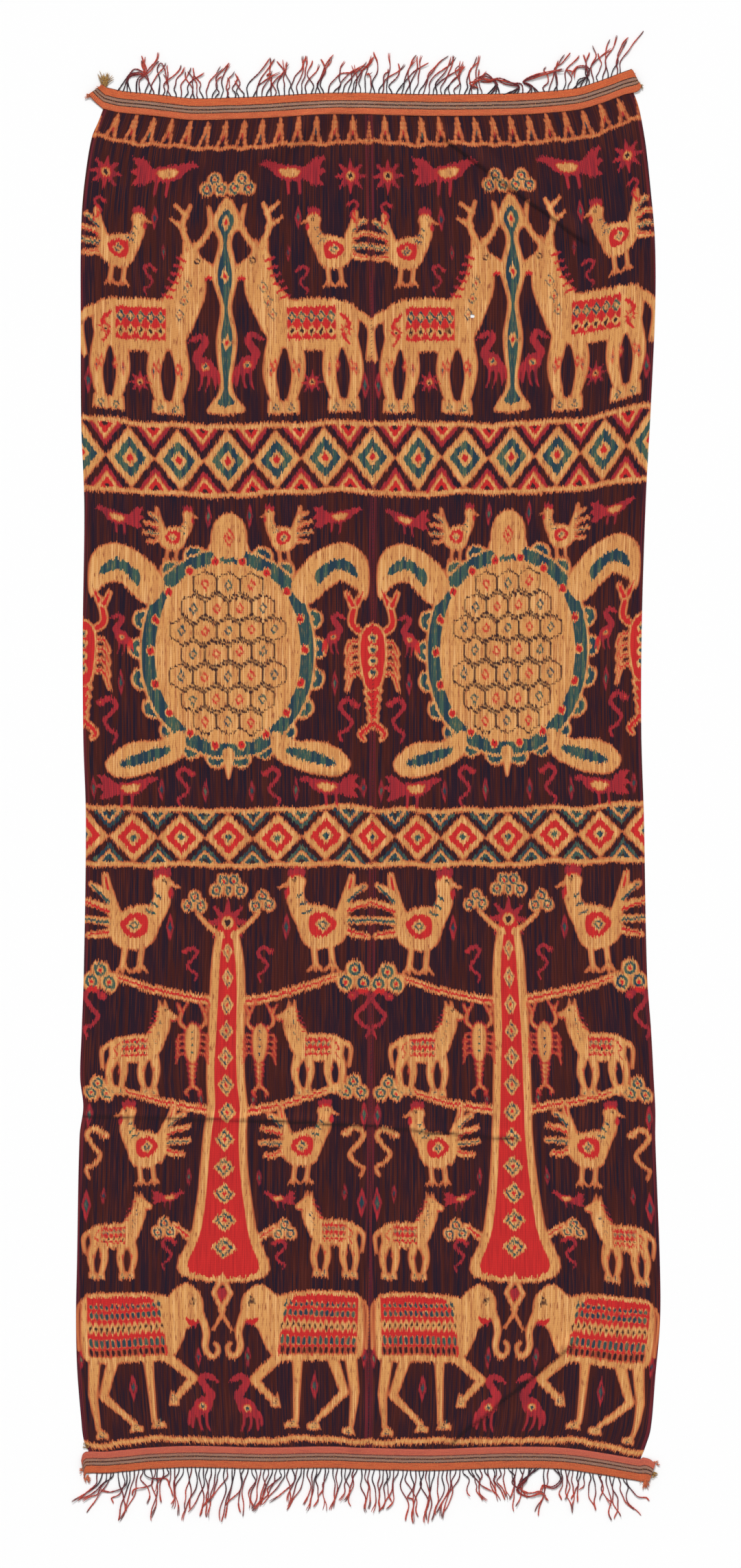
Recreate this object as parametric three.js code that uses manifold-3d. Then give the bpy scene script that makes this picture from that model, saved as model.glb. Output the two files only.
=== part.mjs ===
// Ikat woven mantle, laid flat: two warp ikat panels sewn edge to edge, a striped band woven
// across each end, and the panels' warp ends twisted into a fringe beyond each band.
// Millimetres. +X runs across the cloth, +Y along the warp, +Z up from the surface it lies on.
import * as THREE from "three";
import { mergeVertices } from "three/addons/utils/BufferGeometryUtils.js";
import Module from "manifold-3d";

const wasm = await Module();
wasm.setup();

// Driving dimensions
const PANEL_LENGTH = 2560; // between the two end bands
const CLOTH_THICKNESS = 1.2;
const BAND_WIDTH = 42;
const BAND_THICKNESS = 2;
const BACKING_WIDTH = 3; // the turned warp ends that a fringe springs from
const BACKING_THICKNESS = 1.8;
const STRAND_WIDTH = 2;
const STRAND_HEIGHT = 1.6;
const PIECE_GAP = 0.3;

// Mesh steps
const PANEL_COLUMNS = 14; // across each panel
const PANEL_ROWS = 40;
const CREASE_ROWS = 5;
const CREASE_SPAN = [-628, -706]; // Y of the first and last of them
const END_ROWS = [14, 34]; // extra rows, this far from either end
const ROW_STEP = 5; // least distance between rows
const BAND_ROWS = 4;
const STRAND_STEPS = 3;
const CORNER_STEP = 4; // least distance between the end of a strip and its next column

// The lie of the long edges and of the sewn seam, as X at a distance down the panels
const EDGES = [
  { down: 0, left: -510, seam: 0, right: 507 },
  { down: 25, left: -519, seam: 1, right: 516 },
  { down: 55, left: -531, seam: 1, right: 523 },
  { down: 110, left: -541, seam: 2, right: 532 },
  { down: 190, left: -550, seam: 3, right: 541 },
  { down: 280, left: -553, seam: 4, right: 549 },
  { down: 400, left: -553, seam: 5, right: 550 },
  { down: 600, left: -552, seam: 7, right: 541 },
  { down: 760, left: -546, seam: 8, right: 532 },
  { down: 1000, left: -549, seam: 8, right: 524 },
  { down: 1200, left: -548, seam: 8, right: 523 },
  { down: 1360, left: -543, seam: 7, right: 528 },
  { down: 1650, left: -547, seam: 5, right: 534 },
  { down: 1760, left: -551, seam: 5, right: 542 },
  { down: 1850, left: -554, seam: 4, right: 547 },
  { down: 1905, left: -548, seam: 4, right: 550 },
  { down: 1960, left: -555, seam: 3, right: 550 },
  { down: 2200, left: -560, seam: 2, right: 559 },
  { down: 2300, left: -562, seam: 1, right: 559 },
  { down: 2400, left: -560, seam: 0, right: 550 },
  { down: 2500, left: -552, seam: 0, right: 541 },
  { down: 2540, left: -547, seam: -1, right: 529 },
  { down: 2560, left: -538, seam: -1, right: 521 },
];

// How far each band's outer edge rises above a straight line across the cloth
const TOP_LINE = [
  { across: -540, rise: 14 },
  { across: -501, rise: 8 },
  { across: -471, rise: 2 },
  { across: -431, rise: -2 },
  { across: -392, rise: -6 },
  { across: -340, rise: -12 },
  { across: -276, rise: -11 },
  { across: -197, rise: -8 },
  { across: -118, rise: -3 },
  { across: -39, rise: -1 },
  { across: 109, rise: -4 },
  { across: 197, rise: -4 },
  { across: 284, rise: -2 },
  { across: 346, rise: 2 },
  { across: 398, rise: 8 },
  { across: 438, rise: 20 },
  { across: 501, rise: 43 },
  { across: 530, rise: 50 },
];
const BOTTOM_LINE = [
  { across: -550, rise: -5 },
  { across: -510, rise: -7 },
  { across: -471, rise: -4 },
  { across: -418, rise: 1 },
  { across: -340, rise: 4 },
  { across: -200, rise: 1 },
  { across: -80, rise: 3 },
  { across: 5, rise: 0 },
  { across: 120, rise: -2 },
  { across: 240, rise: 2 },
  { across: 346, rise: 2 },
  { across: 396, rise: -2 },
  { across: 448, rise: -10 },
  { across: 501, rise: -19 },
  { across: 550, rise: -27 },
];

// Ridges and swells that stand off the surface: a soft ridge round the line from one point to the other
const FOLDS = [
  { name: "upper_diagonal", from: [150, 1228], to: [400, 1046], reach: 34, height: 7 },
  { name: "upper_left_pull", from: [-60, 1300], to: [-190, 1205], reach: 36, height: 6 },
  { name: "seam_pull", from: [-10, 1290], to: [40, 1190], reach: 30, height: 4 },
  { name: "crease_left", from: [-545, -640], to: [-230, -650], reach: 17, height: 3 },
  { name: "crease_middle", from: [-230, -650], to: [-60, -656], reach: 19, height: 5 },
  { name: "crease_right", from: [-60, -656], to: [280, -686], reach: 18, height: 4 },
  { name: "waist_tuck", from: [-125, 20], to: [-28, 20], reach: 16, height: 3 },
  { name: "lower_diagonal", from: [165, -1262], to: [380, -1088], reach: 32, height: 6 },
  { name: "seam_foot", from: [-25, -1265], to: [12, -1200], reach: 30, height: 5 },
  { name: "upper_swell", from: [-330, 900], to: [-250, 760], reach: 150, height: 3 },
  { name: "right_swell", from: [330, 520], to: [300, 300], reach: 150, height: 3 },
  { name: "left_swell", from: [-330, -220], to: [-360, -380], reach: 140, height: 3 },
  { name: "low_swell", from: [330, -760], to: [250, -900], reach: 150, height: 3 },
];

// Locks of fringe from left to right: how much of the edge each takes, how far its tips lean
// to the right of its roots, and how far they reach from the band
const TOP_LOCKS = [
  { width: 42, lean: 44, reach: 62 },
  { width: 42, lean: 2, reach: 68 },
  { width: 24, lean: 4, reach: 64 },
  { width: 62, lean: 8, reach: 62 },
  { width: 40, lean: 22, reach: 66 },
  { width: 40, lean: 4, reach: 52 },
  { width: 54, lean: 26, reach: 72 },
  { width: 30, lean: 6, reach: 70 },
  { width: 42, lean: 10, reach: 72 },
  { width: 32, lean: 28, reach: 78 },
  { width: 52, lean: 34, reach: 72 },
  { width: 40, lean: 14, reach: 76 },
  { width: 34, lean: 10, reach: 76 },
  { width: 46, lean: 26, reach: 72 },
  { width: 56, lean: 34, reach: 76 },
  { width: 60, lean: 18, reach: 72 },
  { width: 44, lean: -4, reach: 60 },
  { width: 48, lean: -30, reach: 36 },
  { width: 36, lean: 4, reach: 62 },
  { width: 20, lean: 26, reach: 74 },
  { width: 32, lean: 0, reach: 76 },
  { width: 22, lean: 12, reach: 72 },
  { width: 26, lean: 16, reach: 78 },
  { width: 18, lean: 12, reach: 76 },
  { width: 12, lean: 14, reach: 82 },
  { width: 20, lean: 40, reach: 84 },
];
const BOTTOM_LOCKS = [
  { width: 42, lean: -42, reach: 78 },
  { width: 42, lean: -20, reach: 94 },
  { width: 44, lean: -6, reach: 102 },
  { width: 24, lean: -10, reach: 66 },
  { width: 40, lean: -8, reach: 98 },
  { width: 42, lean: -10, reach: 98 },
  { width: 38, lean: -12, reach: 102 },
  { width: 34, lean: -10, reach: 90 },
  { width: 58, lean: -32, reach: 78 },
  { width: 38, lean: -24, reach: 80 },
  { width: 34, lean: -14, reach: 80 },
  { width: 38, lean: -10, reach: 80 },
  { width: 36, lean: 0, reach: 78 },
  { width: 26, lean: 0, reach: 86 },
  { width: 52, lean: -14, reach: 80 },
  { width: 38, lean: -6, reach: 98 },
  { width: 36, lean: -2, reach: 102 },
  { width: 38, lean: -18, reach: 96 },
  { width: 46, lean: 20, reach: 60 },
  { width: 44, lean: 14, reach: 62 },
  { width: 44, lean: -4, reach: 80 },
  { width: 44, lean: -2, reach: 98 },
  { width: 44, lean: 8, reach: 80 },
  { width: 20, lean: -14, reach: 60 },
  { width: 30, lean: 4, reach: 70 },
  { width: 26, lean: 14, reach: 84 },
  { width: 24, lean: 48, reach: 76 },
];
const GATHER = 0.42; // a lock's width at its tips beside its width at its roots
const CURL = 1.7; // strands leave the band square and lean further as they go
const OVERSHOOT = 1.3; // the most of its lean that a strand may take
const STRAND_CLEAR = 3; // least distance between the middles of two strands

// The two ends of the cloth. side is +1 at the top, where outward is +Y, and -1 at the bottom.
// left and right are the X of a band end's corners: at its outer edge, at its tip and at its inner edge.
const ENDS = {
  top: {
    side: 1,
    line: TOP_LINE,
    left: { outer: -501, tip: -536, tipShare: 0.45, inner: -512 },
    right: { outer: 503, tip: 523, tipShare: 0.75, inner: 510 },
    locks: TOP_LOCKS,
    lockStart: -486,
    strands: 113,
  },
  bottom: {
    side: -1,
    line: BOTTOM_LINE,
    left: { outer: -545, tip: -552, tipShare: 0.5, inner: -548 },
    right: { outer: 530, tip: 549, tipShare: 0.7, inner: 538 },
    locks: BOTTOM_LOCKS,
    lockStart: -524,
    strands: 131,
  },
};

// A curve through a table's points, read as a function: cubic pieces with each point's slope
// taken from its neighbours
function curveOf(table, from, to) {
  const slopeAt = (i) => {
    const a = table[Math.max(i - 1, 0)];
    const b = table[Math.min(i + 1, table.length - 1)];
    return (b[to] - a[to]) / (b[from] - a[from]);
  };
  return (at) => {
    let i = 0;
    while (i < table.length - 2 && at > table[i + 1][from]) i += 1;
    const [a, b] = [table[i], table[i + 1]];
    const span = b[from] - a[from];
    const t = THREE.MathUtils.clamp((at - a[from]) / span, 0, 1);
    const rise = b[to] - a[to];
    const bend = (slopeAt(i) * span - rise) * (1 - t) - (slopeAt(i + 1) * span - rise) * t;
    return a[to] + rise * t + t * (1 - t) * bend;
  };
}

const leftEdge = curveOf(EDGES, "down", "left");
const seamLine = curveOf(EDGES, "down", "seam");
const rightEdge = curveOf(EDGES, "down", "right");
for (const end of Object.values(ENDS)) {
  end.riseAt = curveOf(end.line, "across", "rise");
  end.straight = end.side * (PANEL_LENGTH / 2 + BAND_WIDTH);
}

// Y on one end of the cloth, a distance inward from the band's outer edge
function endLine(end, x, inward) {
  const slope = (end.riseAt(x + 1) - end.riseAt(x - 1)) / 2;
  return end.straight + end.riseAt(x) - end.side * inward * Math.hypot(1, slope);
}

// Height of the cloth's underside above the surface. It is exactly 0 away from the folds,
// and along both fringed edges.
function liftAt(x, y) {
  let lift = 0;
  for (const fold of FOLDS) {
    const [ax, ay] = fold.from;
    const [bx, by] = fold.to;
    const length2 = (bx - ax) ** 2 + (by - ay) ** 2;
    const along = THREE.MathUtils.clamp(((x - ax) * (bx - ax) + (y - ay) * (by - ay)) / length2, 0, 1);
    const off = Math.hypot(x - ax - along * (bx - ax), y - ay - along * (by - ay)) / fold.reach;
    if (off < 1) lift = Math.max(lift, fold.height * (1 - off * off) ** 2);
  }
  const fromTop = endLine(ENDS.top, x, 0) - y;
  const fromBottom = y - endLine(ENDS.bottom, x, 0);
  const rim = THREE.MathUtils.smoothstep(Math.min(fromTop, fromBottom), 4, BAND_WIDTH);
  return lift * rim;
}

// Where a point of the flat panels lies. side is -1 for the left panel and 1 for the right one,
// out is 0 at the seam and 1 at the long edge, and share is 0 at the top band and 1 at the bottom.
function layPanel(side, out, share) {
  const down = share * PANEL_LENGTH;
  const seam = seamLine(down) + side * PIECE_GAP / 2;
  const x = THREE.MathUtils.lerp(seam, side < 0 ? leftEdge(down) : rightEdge(down), out);
  const inward = BAND_WIDTH + PIECE_GAP;
  const y = THREE.MathUtils.lerp(endLine(ENDS.top, x, inward), endLine(ENDS.bottom, x, inward), share);
  return { x, y };
}

// A closed sheet over a grid of points: columns run right, rows run down, and its underside
// lies at the cloth's height
function sheetGeometry(columns, rows, placeAt, thickness, heightAt = liftAt) {
  const wide = columns.length;
  const positions = [];
  for (const level of [0, thickness])
    for (const row of rows)
      for (const column of columns) {
        const { x, y } = placeAt(column, row);
        positions.push(x, y, heightAt(x, y) + level);
      }
  const layer = wide * rows.length;
  const indices = [];
  for (let j = 0; j + 1 < rows.length; j += 1)
    for (let i = 0; i + 1 < wide; i += 1) {
      const [a, b, c, d] = [j * wide + i, j * wide + i + 1, (j + 1) * wide + i + 1, (j + 1) * wide + i];
      indices.push(a, b, c, a, c, d);
      indices.push(layer + a, layer + c, layer + b, layer + a, layer + d, layer + c);
    }
  const rim = [];
  for (let j = 0; j + 1 < rows.length; j += 1) rim.push(j * wide);
  for (let i = 0; i + 1 < wide; i += 1) rim.push((rows.length - 1) * wide + i);
  for (let j = rows.length - 1; j > 0; j -= 1) rim.push(j * wide + wide - 1);
  for (let i = wide - 1; i > 0; i -= 1) rim.push(i);
  rim.forEach((p, n) => {
    const q = rim[(n + 1) % rim.length];
    indices.push(p, q, layer + q, p, layer + q, layer + p);
  });
  const geometry = new THREE.BufferGeometry();
  geometry.setAttribute("position", new THREE.Float32BufferAttribute(positions, 3));
  geometry.setIndex(indices);
  return geometry;
}

const stepsOf = (count) => Array.from({ length: count + 1 }, (_, i) => i / count);

// The panels, with closer rows over the long crease and at both ends
const creaseYs = stepsOf(CREASE_ROWS).map((s) => THREE.MathUtils.lerp(...CREASE_SPAN, s));
const creaseRows = creaseYs.map((y) => 0.5 - y / PANEL_LENGTH);
const endRows = END_ROWS.flatMap((down) => [down / PANEL_LENGTH, 1 - down / PANEL_LENGTH]);
const panelRows = [...stepsOf(PANEL_ROWS), ...creaseRows, ...endRows]
  .sort((a, b) => a - b)
  .filter((share, i, all) => i === 0 || (share - all[i - 1]) * PANEL_LENGTH > ROW_STEP);

function panelGeometry(side) {
  const outs = side < 0 ? stepsOf(PANEL_COLUMNS).reverse() : stepsOf(PANEL_COLUMNS);
  return sheetGeometry(outs, panelRows, (out, share) => layPanel(side, out, share), CLOTH_THICKNESS);
}

// X of the corners and columns along a band's outer edge. The columns meet the panels' own.
function bandColumns(end) {
  const share = end.side > 0 ? 0 : 1;
  const left = stepsOf(PANEL_COLUMNS).map((out) => layPanel(-1, out, share).x).reverse();
  const right = stepsOf(PANEL_COLUMNS).map((out) => layPanel(1, out, share).x);
  const [first, last] = [end.left.outer, end.right.outer];
  const between = (x) => x > first + CORNER_STEP && x < last - CORNER_STEP;
  return [first, ...[...left, ...right.slice(1)].filter(between), last];
}

// Y beside a band's edge, straight from each of its columns to the next as the solid is
function besideBand(end, x, outward) {
  const columns = bandColumns(end);
  const next = columns.findIndex((column) => column > x);
  const [a, b] = [columns[next - 1], columns[next]];
  return THREE.MathUtils.lerp(endLine(end, a, -outward), endLine(end, b, -outward), (x - a) / (b - a));
}

// The end bands
function bandGeometry(end) {
  const stations = [end.left, ...bandColumns(end).slice(1, -1), end.right];
  const placeAt = (station, down) => {
    const inward = end.side > 0 ? down : BAND_WIDTH - down;
    const x = typeof station === "number" ? station : cornerX(station, inward / BAND_WIDTH);
    return { x, y: endLine(end, x, inward) };
  };
  const downs = stepsOf(BAND_ROWS).map((s) => s * BAND_WIDTH);
  return sheetGeometry(stations, downs, placeAt, BAND_THICKNESS);
}

// X on the short end of a band, at a share of the way from its outer edge to its inner edge
function cornerX({ outer, tip, tipShare, inner }, share) {
  return share < tipShare
    ? THREE.MathUtils.lerp(outer, tip, share / tipShare)
    : THREE.MathUtils.lerp(tip, inner, (share - tipShare) / (1 - tipShare));
}

// A strand lying on the surface: a ridge of three sides along a line of points
function strandGeometry(points) {
  const positions = [];
  points.forEach((p, i) => {
    const before = points[Math.max(i - 1, 0)];
    const after = points[Math.min(i + 1, points.length - 1)];
    const way = new THREE.Vector2(after.x - before.x, after.y - before.y).normalize();
    const half = (STRAND_WIDTH / 2) * (i === points.length - 1 ? 0.7 : 1);
    positions.push(p.x + way.y * half, p.y - way.x * half, 0);
    positions.push(p.x, p.y, STRAND_HEIGHT);
    positions.push(p.x - way.y * half, p.y + way.x * half, 0);
  });
  const last = positions.length / 3 - 3;
  const indices = [0, 1, 2, last, last + 2, last + 1];
  for (let r = 0; r < last; r += 3)
    for (let k = 0; k < 3; k += 1) {
      const next = (k + 1) % 3;
      indices.push(r + k, r + 3 + next, r + next, r + k, r + 3 + k, r + 3 + next);
    }
  const geometry = new THREE.BufferGeometry();
  geometry.setAttribute("position", new THREE.Float32BufferAttribute(positions, 3));
  geometry.setIndex(indices);
  return geometry;
}

function solidOf(geometry) {
  const merged = mergeVertices(geometry.clone().deleteAttribute("normal").deleteAttribute("uv"), 1e-3);
  return new wasm.Manifold(
    new wasm.Mesh({
      numProp: 3,
      vertProperties: merged.attributes.position.array,
      triVerts: new Uint32Array(merged.index.array),
    }),
  );
}

function geometryOf(solid) {
  const { vertProperties, triVerts } = solid.getMesh();
  const geometry = new THREE.BufferGeometry();
  geometry.setAttribute("position", new THREE.BufferAttribute(vertProperties, 3));
  geometry.setIndex(new THREE.BufferAttribute(triVerts, 1));
  return geometry;
}

// The fringes: strands fused into the turned edge beyond each band. The strands of a lock draw
// together towards its tips. At each level out from the band, a strand that would run over the
// one before it is laid beside it instead, so that no two touch past their roots.
function lockAt(end, x) {
  let start = end.lockStart;
  for (const lock of end.locks) {
    if (x <= start + lock.width) return { ...lock, middle: start + lock.width / 2 };
    start += lock.width;
  }
  throw new Error("no lock of fringe at " + x);
}

function layStrands(end, edgeLength) {
  const pitch = edgeLength / end.strands;
  const strands = Array.from({ length: end.strands }, (_, n) => {
    const rootX = end.lockStart + (n + 0.5) * pitch;
    return { rootX, lock: lockAt(end, rootX), xs: [] };
  });
  const longest = Math.max(...end.locks.map((lock) => lock.reach)) - BACKING_WIDTH / 2;
  const levels = stepsOf(STRAND_STEPS).map((s) => s * longest);
  const order = end.side > 0 ? strands : [...strands].reverse(); // from behind, the way they lean
  for (const level of levels) {
    let before = null;
    for (const strand of order) {
      const { lean, reach, middle } = strand.lock;
      const gathered = middle + lean + GATHER * (strand.rootX - middle);
      const share = Math.min((level / reach) ** CURL, OVERSHOOT);
      let x = strand.rootX + (gathered - strand.rootX) * share;
      if (before !== null) {
        x = end.side > 0 ? Math.max(x, before + STRAND_CLEAR) : Math.min(x, before - STRAND_CLEAR);
      }
      strand.xs.push(x);
      before = x;
    }
  }
  return { strands, levels };
}

function strandPoints(end, strand, levels) {
  const { rootX, lock, xs } = strand;
  const rootY = besideBand(end, rootX, PIECE_GAP + BACKING_WIDTH / 2);
  const reach = lock.reach - BACKING_WIDTH / 2;
  const last = levels.findIndex((level) => level >= reach);
  const part = (reach - levels[last - 1]) / (levels[last] - levels[last - 1]);
  const points = levels.slice(0, last).map((level, k) => ({ x: xs[k], y: rootY + end.side * level }));
  points.push({ x: THREE.MathUtils.lerp(xs[last - 1], xs[last], part), y: rootY + end.side * reach });
  return points;
}

function fringeGeometry(end) {
  const edgeLength = end.locks.reduce((sum, lock) => sum + lock.width, 0);
  const [first, last] = [end.lockStart, end.lockStart + edgeLength];
  const inside = bandColumns(end).filter((x) => x > first + CORNER_STEP && x < last - CORNER_STEP);
  const rows = end.side > 0 ? [BACKING_WIDTH, 0] : [0, BACKING_WIDTH];
  const placeAt = (x, outward) => ({ x, y: besideBand(end, x, PIECE_GAP + outward) });
  const backing = sheetGeometry([first, ...inside, last], rows, placeAt, BACKING_THICKNESS, () => 0);
  const { strands, levels } = layStrands(end, edgeLength);
  const solids = strands.map((strand) => solidOf(strandGeometry(strandPoints(end, strand, levels))));
  return geometryOf(wasm.Manifold.union([solidOf(backing), ...solids]));
}

// Materials
const ikatCotton = new THREE.MeshStandardMaterial({ color: 0x5a2a20, roughness: 0.92, metalness: 0 });
const bandCotton = new THREE.MeshStandardMaterial({ color: 0xc4532f, roughness: 0.88, metalness: 0 });
const fringeCotton = new THREE.MeshStandardMaterial({ color: 0x7a2a26, roughness: 0.9, metalness: 0 });

const cloth = new THREE.Group();
function addPiece(name, geometry, material) {
  const mesh = new THREE.Mesh(geometry, material);
  mesh.name = name;
  cloth.add(mesh);
}

addPiece("panel_left", panelGeometry(-1), ikatCotton);
addPiece("panel_right", panelGeometry(1), ikatCotton);
for (const [place, end] of Object.entries(ENDS)) {
  addPiece("band_" + place, bandGeometry(end), bandCotton);
  addPiece("fringe_" + place, fringeGeometry(end), fringeCotton);
}

// The origin is the middle of the underside
const box = new THREE.Box3().setFromObject(cloth);
const middle = box.getCenter(new THREE.Vector3());
cloth.position.set(-middle.x, -middle.y, -box.min.z);

export default cloth;
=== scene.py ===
"""The looks of an ikat woven mantle that lies flat: two warp ikat panels sewn edge to edge, a striped
band woven across each end, and twisted fringes. Lengths are in millimetres until a mesh is made."""
import math
from functools import partialmethod

import bpy
import numpy as np
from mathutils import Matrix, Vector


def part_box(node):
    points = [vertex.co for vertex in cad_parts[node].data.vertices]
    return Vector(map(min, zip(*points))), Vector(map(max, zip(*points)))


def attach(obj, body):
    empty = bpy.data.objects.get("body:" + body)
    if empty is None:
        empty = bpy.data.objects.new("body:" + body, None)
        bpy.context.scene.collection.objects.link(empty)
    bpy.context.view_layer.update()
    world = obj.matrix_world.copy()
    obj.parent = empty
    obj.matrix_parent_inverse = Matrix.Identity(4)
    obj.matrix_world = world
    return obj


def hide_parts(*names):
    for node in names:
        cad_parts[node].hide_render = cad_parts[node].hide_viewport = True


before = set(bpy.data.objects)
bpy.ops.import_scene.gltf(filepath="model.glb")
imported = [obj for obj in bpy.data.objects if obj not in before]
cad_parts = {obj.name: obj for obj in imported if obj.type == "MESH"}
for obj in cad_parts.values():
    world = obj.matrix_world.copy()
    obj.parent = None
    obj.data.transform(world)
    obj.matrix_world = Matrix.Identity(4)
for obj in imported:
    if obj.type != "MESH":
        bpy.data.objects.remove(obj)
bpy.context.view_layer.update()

MM = 0.001

# Driving sizes, the same as in the part's source
PANEL_LENGTH = 2560.0
PANEL_WIDTH = 550.0  # of one panel on the loom, before it was pulled about
BAND_WIDTH = 42.0
CLOTH_THICKNESS = 1.2

# The lie of the long edges and of the seam: distance down the panels, left X, seam X, right X
EDGES = [(0, -510, 0, 507), (25, -519, 1, 516), (55, -531, 1, 523), (110, -541, 2, 532), (190, -550, 3, 541),
    (280, -553, 4, 549), (400, -553, 5, 550), (600, -552, 7, 541), (760, -546, 8, 532), (1000, -549, 8, 524),
    (1200, -548, 8, 523), (1360, -543, 7, 528), (1650, -547, 5, 534), (1760, -551, 5, 542),
    (1850, -554, 4, 547), (1905, -548, 4, 550), (1960, -555, 3, 550), (2200, -560, 2, 559),
    (2300, -562, 1, 559), (2400, -560, 0, 550), (2500, -552, 0, 541), (2540, -547, -1, 529),
    (2560, -538, -1, 521)]

# How far each band's outer edge rises above a straight line: X across the cloth, rise
TOP_LINE = [(-540, 14), (-501, 8), (-471, 2), (-431, -2), (-392, -6), (-340, -12), (-276, -11), (-197, -8),
    (-118, -3), (-39, -1), (109, -4), (197, -4), (284, -2), (346, 2), (398, 8), (438, 20), (501, 43),
    (530, 50)]
BOTTOM_LINE = [(-550, -5), (-510, -7), (-471, -4), (-418, 1), (-340, 4), (-200, 1), (-80, 3), (5, 0),
    (120, -2), (240, 2), (346, 2), (396, -2), (448, -10), (501, -19), (550, -27)]

# Ridges and swells off the surface: from X, from Y, to X, to Y, reach, height
FOLDS = [(150, 1228, 400, 1046, 34, 7), (-60, 1300, -190, 1205, 36, 6), (-10, 1290, 40, 1190, 30, 4),
    (-545, -640, -230, -650, 17, 3), (-230, -650, -60, -656, 19, 5), (-60, -656, 280, -686, 18, 4),
    (-125, 20, -28, 20, 16, 3), (165, -1262, 380, -1088, 32, 6), (-25, -1265, 12, -1200, 30, 5),
    (-330, 900, -250, 760, 150, 3), (330, 520, 300, 300, 150, 3), (-330, -220, -360, -380, 140, 3),
    (330, -760, 250, -900, 150, 3)]


def curve_of(table, column):
    """A table's column as a smooth function of its first column, as in the part's source."""
    xs = np.array([row[0] for row in table], float)
    ys = np.array([row[column] for row in table], float)
    last = len(xs) - 1
    behind = np.maximum(np.arange(last + 1) - 1, 0)
    ahead = np.minimum(np.arange(last + 1) + 1, last)
    slopes = (ys[ahead] - ys[behind]) / (xs[ahead] - xs[behind])

    def at(x):
        x = np.asarray(x, float)
        i = np.clip(np.searchsorted(xs, x) - 1, 0, last - 1)
        span = xs[i + 1] - xs[i]
        t = np.clip((x - xs[i]) / span, 0, 1)
        rise = ys[i + 1] - ys[i]
        bend = (slopes[i] * span - rise) * (1 - t) - (slopes[i + 1] * span - rise) * t
        return ys[i] + rise * t + t * (1 - t) * bend

    return at


left_edge, seam_line, right_edge = (curve_of(EDGES, column) for column in (1, 2, 3))
RISE = {1: curve_of(TOP_LINE, 1), -1: curve_of(BOTTOM_LINE, 1)}  # by side: 1 at the top, -1 at the bottom


def end_line(side, x, inward):
    """Y on one end of the cloth, a distance inward from the band's outer edge."""
    rise = RISE[side]
    slope = (rise(x + 1) - rise(x - 1)) / 2
    return side * (PANEL_LENGTH / 2 + BAND_WIDTH) + rise(x) - side * inward * np.hypot(1, slope)


# The part's origin beside the tables' own, from the frame: one corner of the top band and the
# left panel's widest place
TOP_CORNER_X = 503.0
SHIFT_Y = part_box("band_top")[1][1] / MM - float(end_line(1, TOP_CORNER_X, 0))
SHIFT_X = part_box("panel_left")[0][0] / MM - float(np.min(left_edge(np.arange(0, PANEL_LENGTH, 4))))


def smoothstep(x, low, high):
    t = np.clip((x - low) / (high - low), 0, 1)
    return t * t * (3 - 2 * t)


def ripple(x, y, wave, seed, count=7):
    """Soft unevenness from -1 to 1: a few crossed waves about as long as wave."""
    rng = np.random.default_rng(seed)
    total = 0.0
    for angle, phase, stretch in rng.uniform((0, 0, 0.7), (math.pi, math.tau, 1.5), (count, 3)):
        along = x * math.cos(angle) + y * math.sin(angle)
        total = total + np.sin(along * math.tau / (wave * stretch) + phase)
    return total / count


def off_segment(x, y, ax, ay, bx, by):
    """Distance from a straight piece of line, and the share of the way along it."""
    length2 = max((bx - ax) ** 2 + (by - ay) ** 2, 1e-9)
    t = np.clip(((x - ax) * (bx - ax) + (y - ay) * (by - ay)) / length2, 0, 1)
    return np.hypot(x - ax - t * (bx - ax), y - ay - t * (by - ay)), t


def from_rim(x, y):
    return np.minimum(end_line(1, x, 0) - y, y - end_line(-1, x, 0))


SHARP = (0, 3, 4, 5, 7)  # folds that end in a crease on their lower side


def folds_at(x, y):
    """Height of the cloth off the surface at its folds, and how deep a point is in a sharp crease, which is
    the mask for the painted shade along it.
    """
    height = np.zeros(np.broadcast(x, y).shape)
    crease_shade = height.copy()
    wavy_x = x + 3.5 * ripple(x, y, 60, 61)
    wavy_y = y + 3.5 * ripple(x, y, 60, 62)
    strength = np.clip(0.8 + 1.2 * ripple(x, y, 130, 63), 0, 1)
    for k, (ax, ay, bx, by, reach, top) in enumerate(FOLDS):
        off, _ = off_segment(wavy_x, wavy_y, ax, ay, bx, by)
        ridge = top * np.clip(1 - (off / reach) ** 2, 0, 1) ** 2
        if k in SHARP:
            rise = (wavy_y - ay) * (bx - ax) - (wavy_x - ax) * (by - ay)
            above = rise * np.sign(bx - ax) / math.hypot(bx - ax, by - ay)
            ridge = ridge * (1 - 0.8 * smoothstep(-above, 0, 4.5))
            # painted shade mask: a dark line just below each sharp crease, on the side that drops away from
            # the light
            crease_shade = np.maximum(crease_shade, strength * np.exp(-((above + 2.2) / 2.4) ** 2) * (off < reach / 2))
        height = np.maximum(height, ridge)
    return height * smoothstep(from_rim(x, y), 4, BAND_WIDTH), crease_shade


RELAXED = 0.9  # height of the small waves that are left in the cloth


def cloth_height(x, y):
    """Height of the cloth's upper face: its folds, small waves, and puckers beside the woven bands."""
    waves = 0.5 + 0.5 * ripple(x, y, 130, 3)
    fine = ripple(x, y, 46, 5)
    pucker = np.exp(-((from_rim(x, y) - 62) / 34) ** 2) * ripple(x, y * 0.2, 34, 8)
    small = RELAXED * (waves + 0.35 * fine + 0.9 * pucker)
    return CLOTH_THICKNESS + folds_at(x, y)[0] + np.clip(small, 0, None)


def lay_panel(side, out, down):
    """X and Y of a point of a panel: out is 0 at the seam and 1 at the long edge."""
    edge = left_edge(down) if side < 0 else right_edge(down)
    x = seam_line(down) + (edge - seam_line(down)) * out
    share = down / PANEL_LENGTH
    top, bottom = end_line(1, x, BAND_WIDTH), end_line(-1, x, BAND_WIDTH)
    return x, top + (bottom - top) * share


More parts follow.
